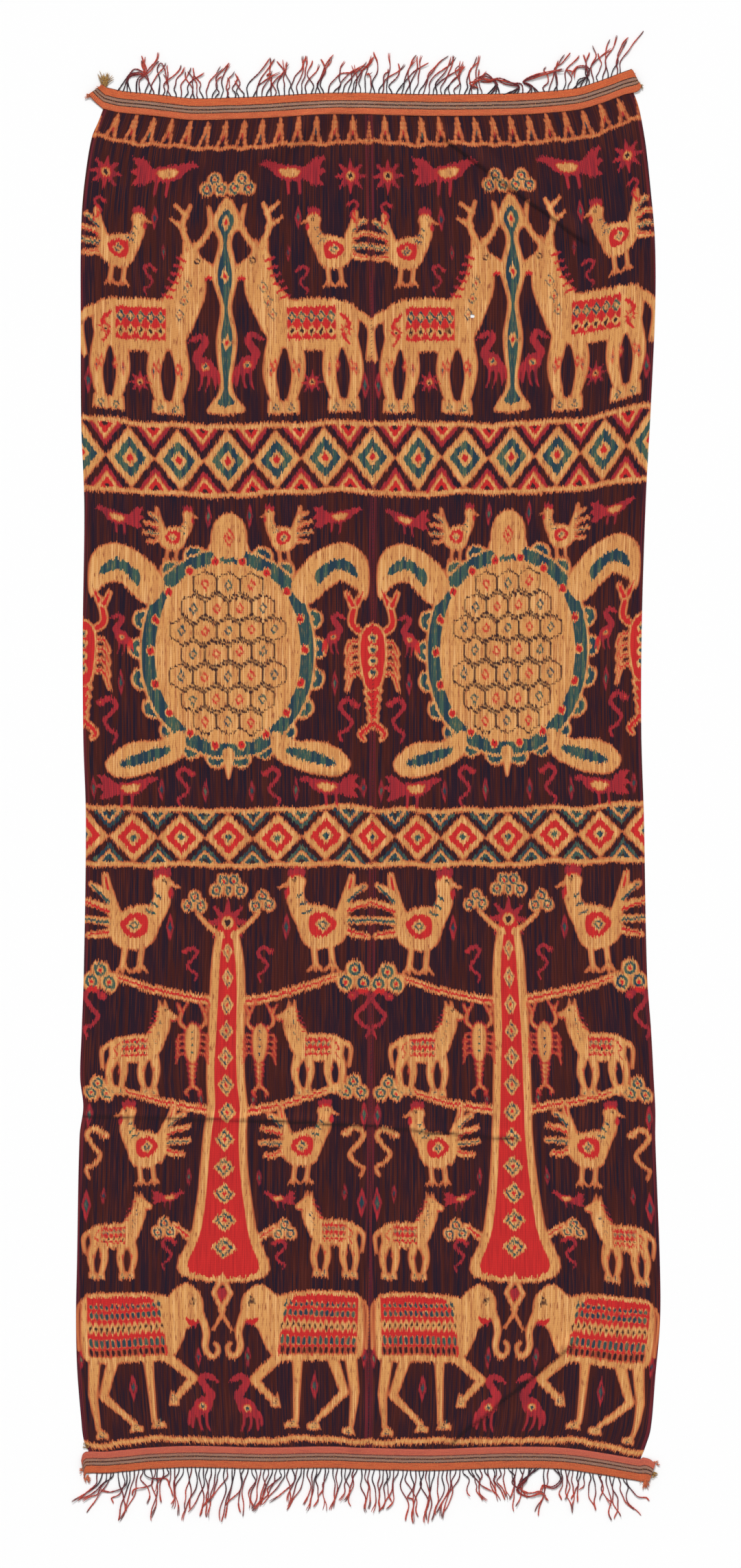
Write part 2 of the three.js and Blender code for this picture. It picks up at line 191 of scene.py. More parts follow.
# The pattern is drawn once, on half a panel, as distances to the edge of each dye's areas. u runs
# from the panel's middle to its edge and v down from the top band. Each panel mirrors it about u = 0.
GRID = 2.5
FAR = 24.0
GROUND, GOLD, TEAL, RED, DARK = range(-1, 4)
DYES = (GOLD, TEAL, RED, DARK)  # each covers those before it


class Field:
    """Distances in millimetres to the nearest edge of each dye's areas, negative inside."""

    def __init__(self):
        self.u = np.arange(0, PANEL_WIDTH / 2 + 4 * GRID, GRID)
        self.v = np.arange(-4 * GRID, PANEL_LENGTH + 8 * GRID, GRID)
        self.dyes = [np.full((len(self.v), len(self.u)), FAR) for _ in DYES]

    def put(self, dye, points, reach, distance):
        """Adds a shape to a dye's areas and takes it out of the dyes that would cover it there."""
        low = np.min(points, axis=0) - reach - FAR
        high = np.max(points, axis=0) + reach + FAR
        i0, i1 = np.searchsorted(self.u, (low[0], high[0]))
        j0, j1 = np.searchsorted(self.v, (low[1], high[1]))
        if i0 == i1 or j0 == j1:
            return
        d = distance(*np.meshgrid(self.u[i0:i1], self.v[j0:j1]))
        for other in DYES[max(dye, 0) :]:
            area = self.dyes[other][j0:j1, i0:i1]
            joined = np.minimum(area, d) if other == dye else np.maximum(area, -d)
            area[...] = np.clip(joined, -FAR, FAR)

    def sampled(self, dye, u, v):
        """A dye's distance, and its slope down the warp, at any points."""
        grid = self.dyes[dye]
        slope = np.gradient(grid, GRID, axis=0)
        x = np.clip((np.abs(u) - self.u[0]) / GRID, 0, len(self.u) - 1.001)
        y = np.clip((v - self.v[0]) / GRID, 0, len(self.v) - 1.001)
        i, j = x.astype(int), y.astype(int)
        x, y = x - i, y - j

        def blended(a):
            rows = ((j, 1 - y), (j + 1, y))
            return sum((a[k, i] * (1 - x) + a[k, i + 1] * x) * share for k, share in rows)

        return blended(grid), blended(slope)


def pairs(points):
    return np.array(points, float).reshape(-1, 2)


def smooth_line(points, steps=6, closed=False):
    """A smooth line through a few points."""
    p = pairs(points)
    if closed:
        before, a, b, after = (np.roll(p, shift, axis=0) for shift in (1, 0, -1, -2))
    else:
        padded = np.vstack([p[0], p, p[-1]])
        before, a, b, after = padded[:-3], padded[1:-2], padded[2:-1], padded[3:]
    t = (np.arange(steps) / steps)[None, :, None]
    before, a, b, after = (q[:, None, :] for q in (before, a, b, after))
    m0, m1 = (b - before) / 2, (after - a) / 2
    line = a + m0 * t + (3 * (b - a) - 2 * m0 - m1) * t**2 + (2 * (a - b) + m0 + m1) * t**3
    line = line.reshape(-1, 2)
    return line if closed else np.vstack([line, p[-1]])


class Pen:
    """Draws on the field about one place, at a size, and mirrored or not. Points are u, v, u, v and so
    on, and v runs down."""

    def __init__(self, field, u, v, size=1.0, mirror=False):
        self.field, self.size, self.place = field, size, np.array((u, v), float)
        self.scale = np.array((-size if mirror else size, size))

    def to(self, points):
        return pairs(points) * self.scale + self.place

    def line(self, dye, points, width, end_width=None, smooth=True):
        """A line of a width in millimetres, which may taper to another at its far end."""
        points = pairs(points)
        p = self.to(smooth_line(points) if smooth and len(points) > 2 else points)
        r0 = width / 2 * self.size
        r1 = r0 if end_width is None else end_width / 2 * self.size
        radii = r0 + (r1 - r0) * np.arange(len(p)) / (len(p) - 1)

        def distance(x, y):
            nearest = np.full(x.shape, FAR * 2)
            for k in range(len(p) - 1):
                off, t = off_segment(x, y, *p[k], *p[k + 1])
                nearest = np.minimum(nearest, off - radii[k] - (radii[k + 1] - radii[k]) * t)
            return nearest

        self.field.put(dye, p, max(r0, r1), distance)

    def area(self, dye, points, smooth=True, grow=0.0):
        """A filled outline, grown or shrunk by a distance in millimetres."""
        p = self.to(smooth_line(points, 5, closed=True) if smooth else points)

        def distance(x, y):
            nearest = np.full(x.shape, FAR * 2)
            inside = np.zeros(x.shape, bool)
            for (ax, ay), (bx, by) in zip(p, np.roll(p, -1, axis=0)):
                nearest = np.minimum(nearest, off_segment(x, y, ax, ay, bx, by)[0])
                if ay != by:
                    inside ^= ((ay > y) != (by > y)) & (x < (bx - ax) * (y - ay) / (by - ay) + ax)
            return np.where(inside, -nearest, nearest) - grow * self.size

        self.field.put(dye, p, max(grow, 0) * self.size, distance)

    def mirrored(self, dye, points, smooth=True, grow=0.0):
        """A filled outline from its half on one side of the middle."""
        half = pairs(points)
        back = half[::-1] * (-1, 1)
        self.area(dye, np.vstack([half, back[back[:, 0] != 0]]), smooth, grow)

    def oval(self, dye, u, v, across, down=None):
        """An upright oval, by its half sizes."""
        ((cx, cy),) = self.to((u, v))
        rx, ry = across * self.size, (down or across) * self.size

        def distance(x, y):
            return (np.hypot((x - cx) / rx, (y - cy) / ry) - 1) * min(rx, ry)

        self.field.put(dye, np.array([(cx - rx, cy - ry), (cx + rx, cy + ry)]), 0, distance)

    def lozenge(self, dye, u, v, across, down):
        self.area(dye, [(u, v - down), (u + across, v), (u, v + down), (u - across, v)], smooth=False)

    def nest(self, u, v, across, down, *dyes, draw=lozenge):
        """Lozenges or ovals one inside the other, a dye for each."""
        for k, dye in enumerate(dyes):
            share = 1 - k / len(dyes)
            draw(self, dye, u, v, across * share, down * share)

    rings = partialmethod(nest, draw=oval)


# Small motifs, each about its own middle


def spindle(pen):
    pen.nest(0, 0, 8, 29, RED, TEAL)


def rosette(pen):
    """A flower of eight pointed petals about a round heart."""
    for turn in np.arange(8) * math.tau / 8:
        pen.line(RED, [(0, 0), (30 * math.cos(turn), 30 * math.sin(turn))], 15, 3)
    pen.rings(0, 0, 9, 9, GOLD, DARK)


def snake(pen, dye=RED):
    body = [-16, -34, 2, -44, 16, -30, 4, -12, -10, 4, 2, 22, 16, 30, 10, 46]
    pen.line(dye, body, 11, 6)
    pen.oval(dye, -18, -32, 9, 7)
    pen.oval(GOLD if dye == RED else RED, -18, -33, 2.2)


def running_bird(pen):
    """A red bird that runs towards the middle, with a gold body."""
    body = [-60, -18, -46, -26, -28, -19, 0, -14, 20, -9, 40, -25, 60, -25, 47, -9]
    under = [62, -1, 46, 6, 57, 23, 37, 21, 18, 12, -8, 14, -28, 5, -42, -12]
    pen.area(RED, body + under, smooth=False)
    pen.area(GOLD, [-24, -9, 2, -9, 15, -1, 2, 8, -16, 5])
    for foot in (-8, 12):
        pen.line(RED, [(foot, 10), (foot + 2, 36)], 6, 5)


def necked_bird(pen):
    """A red bird with a bent neck and hanging tail."""
    pen.line(RED, [-20, -50, -6, -58, 5, -46, -4, -30, -13, -14, 2, 4], 11, 20)
    pen.line(RED, [-17, -52, -31, -45], 8, 4)
    pen.area(RED, [-14, -6, 4, -13, 20, -3, 25, 20, 14, 28, -2, 22, -14, 10])
    for tip in ((35, 45), (27, 52)):
        pen.line(RED, [(16, 6), (tip[0] - 4, 22), tip], 10, 5)
    for foot in (-2, 13):
        pen.line(RED, [(foot, 18), (foot - 1, 42), (foot - 7, 58)], 7, 4)
    pen.rings(5, 7, 9, 8, GOLD, TEAL)


def rooster(pen):
    """A gold rooster with red and teal feathers."""
    pen.area(GOLD, [-36, -8, -18, -32, 14, -28, 42, -10, 36, 26, 6, 40, -24, 30])
    pen.line(GOLD, [-22, -8, -38, -40, -36, -66], 34, 22)
    pen.oval(GOLD, -38, -68, 15, 13)
    pen.line(GOLD, [-48, -68, -66, -60], 9, 3)
    for k, tip in enumerate([(50, -80), (71, -64), (83, -38), (85, -10), (74, 16)]):
        pen.line(GOLD, [(26, -4), (46, tip[1] * 0.75), tip], 17, 11)
        pen.line(TEAL if k % 2 else RED, [(44, tip[1] * 0.62), tip], 5, 3.5)
    for k in range(3):
        pen.oval(RED, -47 + 9 * k, -84 - 3 * (k % 2), 5, 8)
    pen.oval(RED, -52, -52, 4.5, 8)
    pen.area(RED, [-16, -14, 8, -19, 26, -2, 10, 18, -14, 15])
    pen.nest(4, 0, 13, 13, GOLD, TEAL, GOLD)
    for k in range(3):
        pen.line(TEAL, [(-28 - 4 * k, -18 - 13 * k), (-14 - 7 * k, -24 - 13 * k)], 4)
    pen.rings(-41, -71, 4, 4, DARK, GOLD)
    for foot in (-10, 16):
        pen.line(GOLD, [(foot, 34), (foot + 3, 64)], 9)
        for toe in (-12, 0, 10):
            pen.line(GOLD, [(foot + 3, 62), (foot + 3 + toe, 74)], 6, 4)


def horse(pen, antlers=False):
    """A standing horse, or a deer with antlers, with a patterned cloth on its back."""
    pen.area(GOLD, [-46, -22, -20, -36, 30, -36, 58, -24, 56, 16, 20, 25, -24, 23, -48, 8])
    pen.line(GOLD, [-32, -14, -53, -54, -55, -84], 50, 25)
    pen.line(GOLD, [-54, -86, -80, -72], 25, 15)
    for ear in (-49, -61):
        pen.line(GOLD, [(ear, -92), (ear + 2, -108)], 9, 4)
    for hip, knee, foot in ((-36, -44, -36), (-19, -10, -18), (32, 26, 34), (48, 58, 52)):
        pen.line(GOLD, [(hip, 8), (knee, 48), (foot, 84)], 22, 10)
        pen.area(GOLD, [(foot - 9, 82), (foot + 9, 82), (foot + 10, 98), (foot - 10, 98)], smooth=False)
        pen.nest(foot, 91, 5, 5, TEAL, GOLD)
    if antlers:
        pen.line(GOLD, [-56, -98, -44, -126, -52, -152], 8, 5)
        pen.line(GOLD, [-58, -98, -76, -124, -74, -150], 8, 5)
        for tine in ((-46, -124, -30, -134), (-74, -122, -92, -130), (-48, -140, -34, -152)):
            pen.line(GOLD, [tine[:2], tine[2:]], 7, 4)
    for k in range(6):
        pen.line(RED, [(-31 - 3.4 * k, -40 - 9 * k), (-20 - 3.6 * k, -43 - 9 * k)], 3.6)
    pen.line(GOLD, [54, -20, 75, -4, 72, 36], 13, 7)
    pen.area(RED, [-24, -27, 34, -27, 34, 12, -24, 12], smooth=False)
    for k in range(5):
        pen.nest(-18 + 11.5 * k, -15, 5.5, 9, TEAL, GOLD)
        pen.nest(-18 + 11.5 * k, 2, 5.5, 8, GOLD, DARK)
    for k in range(3):
        pen.nest(-40 - 5 * k, -20 - 18 * k, 6, 8, TEAL, GOLD, RED)
    pen.line(RED, [40, -18, 50, -6, 42, 6, 50, 18], 4.5, 3)
    for leg in (-38, -16, 36, 52):
        pen.nest(leg, 42, 3.6, 9, RED, GOLD)
    pen.rings(-62, -86, 4, 4, DARK, GOLD)
    pen.line(RED, [-84, -68, -72, -66], 4)


def crayfish(pen, dye=RED, rim=GOLD):
    """A crayfish from above: a jointed tail, feelers and two claws."""

    def both(points, width, end_width):
        for mirror in (1, -1):
            line = pairs(points) * (mirror, 1)
            pen.line(rim, line, width + 6, end_width + 6)
            pen.line(dye, line, width, end_width)

    both([10, -44, 34, -66, 30, -98], 9, 8)
    both([28, -100, 16, -122], 8, 3)
    both([34, -100, 44, -120], 8, 3)
    for k in range(4):
        both([(12, -26 + 16 * k), (34, -34 + 18 * k), (44, -14 + 20 * k)], 5, 3)
    shell = [0, -66, 17, -48, 20, -10, 13, 34, 0, 46]
    joints = [[(0, 66 + 15 * k), (13 - 2 * k, 48 + 15 * k)] for k in range(4)]
    for grown, shade in ((4, rim), (0, dye)):
        pen.mirrored(shade, shell, grow=grown)
        for joint in joints:
            pen.mirrored(shade, joint, smooth=False, grow=grown)
    both([0, 104, 20, 122, 14, 132], 8, 4)
    for k in range(4):
        pen.rings(0, -42 + 20 * k, 8, 8, GOLD, TEAL)


def leaves(pen):
    """Three round leaves, rimmed in gold, each with a red eye."""
    lobes = ((-17, 3), (17, 3), (0, -20))
    for dye, radius in ((GOLD, 18), (TEAL, 12), (GOLD, 6.5), (RED, 4)):
        for x, y in lobes:
            pen.oval(dye, x, y, radius)


def place(field, *motifs):
    """Draws motifs, each given as its function, u, v, and maybe its size and whether it is mirrored."""
    for draw, *where in motifs:
        draw(Pen(field, *where))


# The borders

TREE_PITCH = 37.3
ACROSS = np.arange(-4, 290, 12)  # where the borders' wavy lines have their points


def top_border(field):
    """A row of small knotted trees over a toothed line."""
    rng = np.random.default_rng(31)
    for k in range(8):
        pen = Pen(field, TREE_PITCH * (k + 0.5), 27)
        for row, half in enumerate((0, 3.2, 3.4, 4.8, 7, 9)):
            y = -21 + 9.2 * row + rng.uniform(-1.5, 1.5)
            for side in (-1, 1):
                pen.oval(GOLD, side * half, y, rng.uniform(2.4, 3.8), rng.uniform(3.8, 5.0))
        pen.line(GOLD, [0, -21, 0, 2], 4)
        pen.line(TEAL if k % 3 == 1 else RED, [0, 4, 0, 14], 4, 3)
        pen.line(GROUND, [0, 15, 0, 25], 3, 7)
    points = [(x, 54 + 2.2 * math.sin(x / 23) + 1.5 * math.sin(x / 9)) for x in ACROSS]
    Pen(field, 0, 0).line(GOLD, points, 6)


def base_line(field):
    """The wavy toothed line above the bottom band."""
    points = [(x, 2546 + 2.6 * math.sin(x / 31) + 1.4 * math.sin(x / 12)) for x in ACROSS]
    Pen(field, 0, 0).line(GOLD, points, 11)


ELEPHANT_TOP = 2230
SADDLE_COLUMN = 9.8


def elephant(field):
    """An elephant with a patterned cloth on its back, face to face with its mirror image."""
    pen = Pen(field, 0, ELEPHANT_TOP)
    pen.area(GOLD, [118, 44, 140, 32, 200, 29, 248, 31, 262, 46, 266, 80, 265, 130, 256, 160, 200, 165,
        140, 165, 112, 160, 100, 120])
    pen.area(GOLD, [124, 46, 104, 40, 86, 24, 68, 16, 48, 28, 37, 46, 36, 74, 50, 90, 66, 104, 76, 128,
        90, 152, 122, 160])
    pen.line(GOLD, [43, 70, 34, 92, 30, 112, 33, 134, 28, 151, 18, 157, 10, 150, 9, 138, 14, 132], 15, 8)
    pen.line(GOLD, [256, 42, 271, 62, 270, 140], 5)
    spindle(Pen(field, 267, ELEPHANT_TOP + 158, 0.8))
    legs = (([110, 152, 57, 200, 94, 240], 22, 12, (97, 238), (10, 14)),
        ([140, 158, 139, 200, 136, 280], 20, 10, (128, 284), (15, 9)),
        ([206, 160, 229, 226, 174, 282], 22, 10, (171, 288), (14, 10)),
        ([240, 150, 249, 226, 243, 288], 24, 9, (238, 296), (13, 10)))
    for points, width, ankle, (x, y), (across, down) in legs:
        pen.line(GOLD, points, width, ankle, smooth=False)
        foot = [(x - across, y + down), (x - across, y), (x + across * 0.4, y - down),
            (x + across, y + down)]
        pen.area(GOLD, foot, smooth=False)
        pen.rings(x, y + 1, 6, 7, TEAL, GOLD, DARK)
    pen.rings(55, 50, 7, 8, DARK, GOLD, DARK)
    pen.area(RED, [42, 88, 54, 86, 69, 80, 64, 92, 52, 98])
    pen.area(RED, [121, 60, 136, 40, 190, 36, 255, 39, 252, 152, 102, 152, 107, 112], smooth=False)
    for k in range(14):
        x = 247 - SADDLE_COLUMN * k
        lean = 0.06 * (247 - x)
        pen.line(TEAL, [(x, 53), (x - 1, 58)], 5.8)
        pen.line(TEAL, [(x - 1, 68), (x - 2, 75)], 6.4)
        pen.nest(x - lean, 95, 5.6, 16, GOLD, DARK)
        pen.line(TEAL, [(x - lean, 118), (x - lean - 1, 130)], 6.6)
        pen.line(GROUND, [(x - lean, 139), (x - lean - 1, 148)], 7.6)
    pen.nest(0, 34, 21, 40, GOLD, GOLD, GROUND, GROUND)
    pen.oval(RED, 0, 36, 8.5, 12)
    for side in (-1, 1):
        pen.line(GOLD, [(-side * 4, 66), (side * 17, 106)], 7, 5)
    place(field, (necked_bird, 38, ELEPHANT_TOP + 247, 0.92), (spindle, 46, ELEPHANT_TOP + 158, 0.8),
        (spindle, 172, ELEPHANT_TOP + 214))


# The main field: deer, a turtle between rows of lozenges, and a tree with animals about it


def lozenge_row(field, v, height, inner):
    """A row of nested lozenges between two toothed lines."""
    middle = v + height / 2
    for k in range(4):
        pen = Pen(field, 92 * k, middle)
        pen.nest(0, 0, 46, height / 2 - 6, GOLD, GOLD, inner[0], inner[0], GOLD, inner[1])
        for end in (-1, 1):
            half = Pen(field, 92 * k + 46, middle + end * (height / 2 - 4))
            half.nest(0, 0, 33, height / 3, inner[1], GOLD, inner[1], DARK)
    for y in (v, v + height):
        pen = Pen(field, 0, y)
        out = -46 if y == v else 46
        pen.area(GROUND, [(-9, 0), (290, 0), (290, out), (-9, out)], smooth=False)
        pen.line(GOLD, [(x, 2 * math.sin(x / 19)) for x in ACROSS], 10)


def deer_row(field):
    running_bird(Pen(field, 124, 110, 1.12))
    horse(Pen(field, 153, 412, 1.62), antlers=True)
    pen = Pen(field, 0, 0)
    pen.mirrored(GOLD, [0, 150, 26, 196, 12, 236, 24, 300, 11, 360, 20, 430, 12, 520, 36, 566])
    pen.mirrored(TEAL, [0, 174, 15, 198, 3, 236, 14, 300, 3, 360, 11, 430, 4, 520, 16, 552])
    for y in (200, 300, 432):
        pen.nest(0, y, 8, 17, GOLD, RED)
    place(field, (snake, 146, 316, 0.6), (rosette, 227, 414, 0.5),
        *((spindle, u, 488, 0.6) for u in (84, 137, 195, 246)), (leaves, 26, 132, 0.8),
        (rosette, 163, 512, 0.72), (necked_bird, 44, 470, 0.9, True), (rooster, 202, 262, 0.92),
        (spindle, 262, 520), (spindle, 136, 196, 0.9), (spindle, 118, 262, 0.6), (rosette, 238, 118, 1.05),
        (snake, 244, 190, 0.55))


def turtle(field):
    middle = 1030
    pen = Pen(field, 0, middle)
    for k in range(11):
        turn = math.radians(-84 + 16.6 * k)
        lobe = Pen(field, 168 * math.cos(turn), middle + 202 * math.sin(turn))
        lobe.rings(0, 0, 22, 22, GOLD, TEAL, TEAL, GOLD)
    rim = [0, -200, 72, -182, 132, -126, 161, -32, 155, 68, 112, 150, 46, 194]
    pen.mirrored(GOLD, rim, grow=5)
    pen.mirrored(TEAL, rim)
    pen.mirrored(GOLD, rim, grow=-25)
    for k in range(9):
        turn = math.radians(-80 + 20 * k)
        pen.rings(146 * math.cos(turn), 180 * math.sin(turn), 9, 10, GOLD, RED, RED, DARK)
    for row, y in enumerate(range(-132, 150, 44)):
        for column in range(3):
            x = 44 * column + (22 if row % 2 else 0)
            if (x / 112) ** 2 + (y / 150) ** 2 > 0.93:
                continue
            scute = Pen(field, x, middle + y)
            for a in range(6):
                turn = [math.radians(60 * a + 30), math.radians(60 * a + 90)]
                scute.line(DARK, [(25 * math.cos(t), 25 * math.sin(t)) for t in turn], 3.4, smooth=False)
            scute.nest(0, 0, 9, 12, RED if (row + column) % 2 else TEAL, GOLD)
    pen.mirrored(GOLD, [0, -268, 22, -256, 32, -228, 27, -192, 0, -186], grow=3)
    pen.nest(0, -224, 12, 20, RED, GOLD, RED)
    flipper = [122, -132, 166, -186, 222, -204, 262, -172, 262, -104, 240, -124, 206, -134, 152, -92]
    pen.area(GOLD, flipper, grow=2)
    pen.area(TEAL, [166, -152, 206, -178, 240, -164, 246, -140, 206, -154, 172, -126], grow=-2)
    pen.area(GOLD, [88, 154, 132, 172, 190, 178, 232, 214, 210, 240, 150, 230, 92, 200], grow=2)
    pen.area(TEAL, [118, 182, 168, 192, 206, 212, 198, 222, 150, 212, 112, 194], grow=-1)
    pen.line(GOLD, [0, 194, 0, 240], 24, 6)
    place(field, (crayfish, 274, middle + 22, 1.12), (rooster, 104, 808, 0.66),
        (running_bird, 208, 776, 0.8, True), (snake, 226, 1162, 0.9, True),
        (necked_bird, 204, 1000, 0.68, True),
        *((spindle, *at, 0.85) for at in ((44, 1296), (128, 1296), (258, 1296), (40, 766), (202, 1092))),
        (running_bird, 192, 1294), (snake, 84, 1288, 0.8))


def life_tree(field):
    """A tree with a red trunk, its branches under roosters, horses and crayfish."""
    pen = Pen(field, 0, 0)
    for y, reach, size in ((1634, 222, 1.0), (1846, 222, 0.85), (2116, 92, 0.7)):
        branch = [(8, y + 70), (reach * 0.5, y + 52), (reach, y + 20)]
        pen.line(GOLD, branch, 20, 13)
        pen.line(RED, branch, 6, 4)
        leaves(Pen(field, reach + 20, y + 30, size))
    pen.mirrored(GOLD, [0, 1540, 24, 1620, 28, 1800, 36, 2000, 52, 2140, 74, 2226], grow=7)
    pen.mirrored(RED, [0, 1552, 15, 1620, 20, 1800, 28, 2000, 42, 2140, 62, 2224])
    for k in range(12):
        pen.nest(0, 1604 + 52 * k, 10 + k * 1.3, 22, GOLD, TEAL, GOLD, RED)
    rosette(Pen(field, 0, 1546, 1.35))
    pen.line(GOLD, [12, 1572, 34, 1556, 60, 1530], 13, 8)
    place(field, (leaves, 66, 1514, 0.74), (leaves, 10, 1484, 0.8), (rooster, 176, 1558, 1.22),
        (horse, 170, 1796, 0.88), (rooster, 150, 1982, 0.97, True), (horse, 204, 2156, 0.8))
    crayfish(Pen(field, 64, 1790, 0.7), rim=RED, dye=GOLD)
    place(field, (snake, 104, 2188, 0.66), (snake, 256, 1724), (running_bird, 104, 2082, 0.55),
        (snake, 70, 1628, 0.72, True))
    snake(Pen(field, 246, 1990), dye=GOLD)
    place(field, (spindle, 260, 2090, 1.2), (spindle, 66, 2040, 0.7), (spindle, 262, 1922),
        (spindle, 228, 2070, 0.7), (spindle, 112, 1560), (spindle, 50, 1890, 0.7))


def draw_pattern():
    field = Field()
    lozenge_row(field, 592, 132, (TEAL, RED))
    lozenge_row(field, 1334, 104, (RED, TEAL))
    deer_row(field)
    turtle(field)
    life_tree(field)
    top_border(field)
    elephant(field)
    base_line(field)
    return field


# Materials


def linear(red, green, blue):
    """A colour from its screen values out of 255."""
    return tuple((c / 255) ** 2.2 for c in (red, green, blue)) + (1.0,)


class Nodes:
    """Short calls that add nodes to a material and give their sockets back."""

    def __init__(self, name, roughness, sheen=0.2):
        self.material = bpy.data.materials.new(name)
        self.material.use_nodes = True
        self.tree = self.material.node_tree
        self.shader = self.tree.nodes["Principled BSDF"]
        finish = {"Roughness": roughness, "Specular IOR Level": 0.25, "Sheen Weight": sheen}
        for socket, value in finish.items():
            self.shader.inputs[socket].default_value = value
        self.shader.inputs["Sheen Roughness"].default_value = 0.5

    def link(self, source, socket):
        """Sets a socket to a number or to a colour out of 255, or links another socket to it."""
        if isinstance(source, tuple):
            socket.default_value = linear(*source)
        elif isinstance(source, (int, float)):
            socket.default_value = source
        else:
            self.tree.links.new(source, socket)

    def add(self, kind, inputs, **settings):
        """Adds a node with its settings and inputs, and gives its outputs back."""
        node = self.tree.nodes.new("ShaderNode" + kind)
        for name, value in settings.items():
            setattr(node, name, value)
        for key, value in inputs.items():
            self.link(value, node.inputs[key])
        return node.outputs

    def maths(self, operation, *values):
        return self.add("Math", dict(enumerate(values)), operation=operation)[0]

    plus = partialmethod(maths, "ADD")
    minus = partialmethod(maths, "SUBTRACT")
    times = partialmethod(maths, "MULTIPLY")
    over = partialmethod(maths, "DIVIDE")

    def wave(self, value, length):
        return self.maths("SINE", self.times(value, math.tau / length))

    def mix(self, factor, first, second):
        return self.add("Mix", {0: factor, 6: first, 7: second}, data_type="RGBA")[2]

    def ramp(self, value, low, high):
        """0 below low and 1 above high, smooth between. low may be the larger."""
        inputs = {"Value": value, "From Min": low, "From Max": high}
        return self.add("MapRange", inputs, interpolation_type="SMOOTHSTEP")[0]

    def paint(self, colour, *coats):
        """Lays coats over a colour, each where its value goes from low to high."""
        for value, low, high, shade in coats:
            colour = self.mix(self.ramp(value, low, high), colour, shade)
        return colour

    def attribute(self, name, output="Vector"):
        return self.add("Attribute", {}, attribute_name=name)[output]

    def split(self, vector):
        return self.add("SeparateXYZ", {0: vector})[:]

    def noise(self, vector, detail=2.0, scale=1.0):
        return self.add("TexNoise", {"Vector": vector, "Scale": scale, "Detail": detail})["Fac"]

    def streaks(self, x, y, wide, long, shift=0.0, detail=2.0):
        """Noise of streaks, as wide and as long as given, about 0.5."""
        stretched = self.add("CombineXYZ", {0: self.over(x, wide), 1: self.over(y, long), 2: shift})[0]
        return self.noise(stretched, detail)

    def bump(self, height, distance, strength):
        bumped = self.add("Bump", {"Strength": strength, "Distance": distance, "Height": height})
        self.link(bumped[0], self.shader.inputs["Normal"])

    def done(self, colour):
        self.link(colour, self.shader.inputs["Base Color"])
        return self.material


THREAD_BUNDLE = 1.8  # warps that were tied and dyed together
WEFT_PITCH = 1.9
WARP_PITCH = 0.9


def ikat_material():
    """Warp ikat: each dye fills its areas, thread by thread, and its edges run along the warp."""
    m = Nodes("ikat_cotton", 0.92, 0.08)
    x, y, _ = m.split(m.attribute("weave"))
    areas = [*m.split(m.attribute("ikat")), m.attribute("ikat", "Alpha")]
    slopes = [*m.split(m.attribute("ikat_slope")), m.attribute("ikat_slope", "Alpha")]
    bundle = m.maths("FLOOR", m.over(x, THREAD_BUNDLE))

    def slip(shift, amount):
        """How far each bundle of threads has slipped along the warp, in millimetres."""
        return m.times(m.minus(m.streaks(bundle, y, 0.13, 55, shift, 0.0), 0.5), amount)

    def edge(dye, slipped):
        return m.maths("MULTIPLY_ADD", slopes[dye], slipped, m.times(areas[dye], FAR))

    first, second = slip(1.0, 15.0), slip(40.0, 17.0)
    gold_edge = edge(GOLD, first)
    broad = m.streaks(x, y, 9, 500, 7.0)
    fine = m.streaks(x, y, 1.3, 90, 11.0, 3.0)
    thread = m.streaks(bundle, y, 0.31, 110, 23.0, 0.0)
    dash = m.streaks(x, y, 1.7, 20, 19.0, 1.0)

    ground = m.paint((42, 17, 33), (broad, 0.4, 0.6, (66, 23, 18)), (thread, 0.55, 0.72, (80, 33, 25)),
        (thread, 0.42, 0.3, (29, 16, 36)), (fine, 0.58, 0.72, (88, 34, 27)))
    rust = m.paint((208, 112, 66), (fine, 0.4, 0.6, (166, 76, 48)))
    gold = m.paint((222, 158, 93), (broad, 0.35, 0.65, (208, 141, 82)), (thread, 0.56, 0.72, (198, 130, 78)),
        (fine, 0.56, 0.68, (180, 110, 68)), (dash, 0.58, 0.66, (160, 92, 58)),
        (thread, 0.42, 0.3, (234, 174, 112)), (m.plus(gold_edge, edge(GOLD, second)), -8.5, 0.5, rust))
    teal = m.paint((46, 76, 74), (fine, 0.4, 0.6, (74, 96, 78)), (dash, 0.56, 0.66, (128, 116, 74)),
        (broad, 0.4, 0.6, (36, 58, 72)))
    bright = m.paint((206, 44, 42), (fine, 0.42, 0.62, (176, 36, 38)))
    dull = m.paint((176, 44, 50), (fine, 0.42, 0.62, (122, 36, 48)))
    red = m.paint(dull, (m.times(areas[GOLD], FAR), 4.0, -2.0, bright))
    colour = m.paint(ground, (gold_edge, 2.0, -0.6, gold), (edge(TEAL, second), 0.9, -0.9, teal),
        (edge(RED, first), 1.2, -1.2, red), (edge(DARK, second), 0.9, -0.9, (58, 34, 34)))

    # Dull red warps along both long edges of a panel, then the stain, then painted shade along the sharp
    # creases
    off_edge = m.minus(PANEL_WIDTH / 2, m.maths("ABSOLUTE", x))
    selvage = m.times(m.ramp(off_edge, 9.0, 6.0), m.ramp(gold_edge, -0.5, 1.5))
    selvage = m.times(selvage, m.ramp(m.streaks(x, y, 2.2, 260, 31.0), 0.44, 0.56))
    colour = m.mix(m.times(selvage, 0.55), colour, (126, 38, 48))
    colour = m.mix(m.times(m.attribute("stain", "Fac"), 0.75), colour, (104, 58, 34))
    # painted shade: the sharp creases darkened, standing in for the shadow where the cloth drops away
    colour = m.mix(m.times(m.attribute("crease_shade", "Fac"), 0.8), colour, (38, 22, 26))
    weave = m.times(m.plus(m.wave(y, WEFT_PITCH), m.wave(x, WARP_PITCH)), 0.3)
    m.bump(m.plus(weave, m.times(fine, 2.2)), 0.0006, 0.6)
    return m.done(colour)


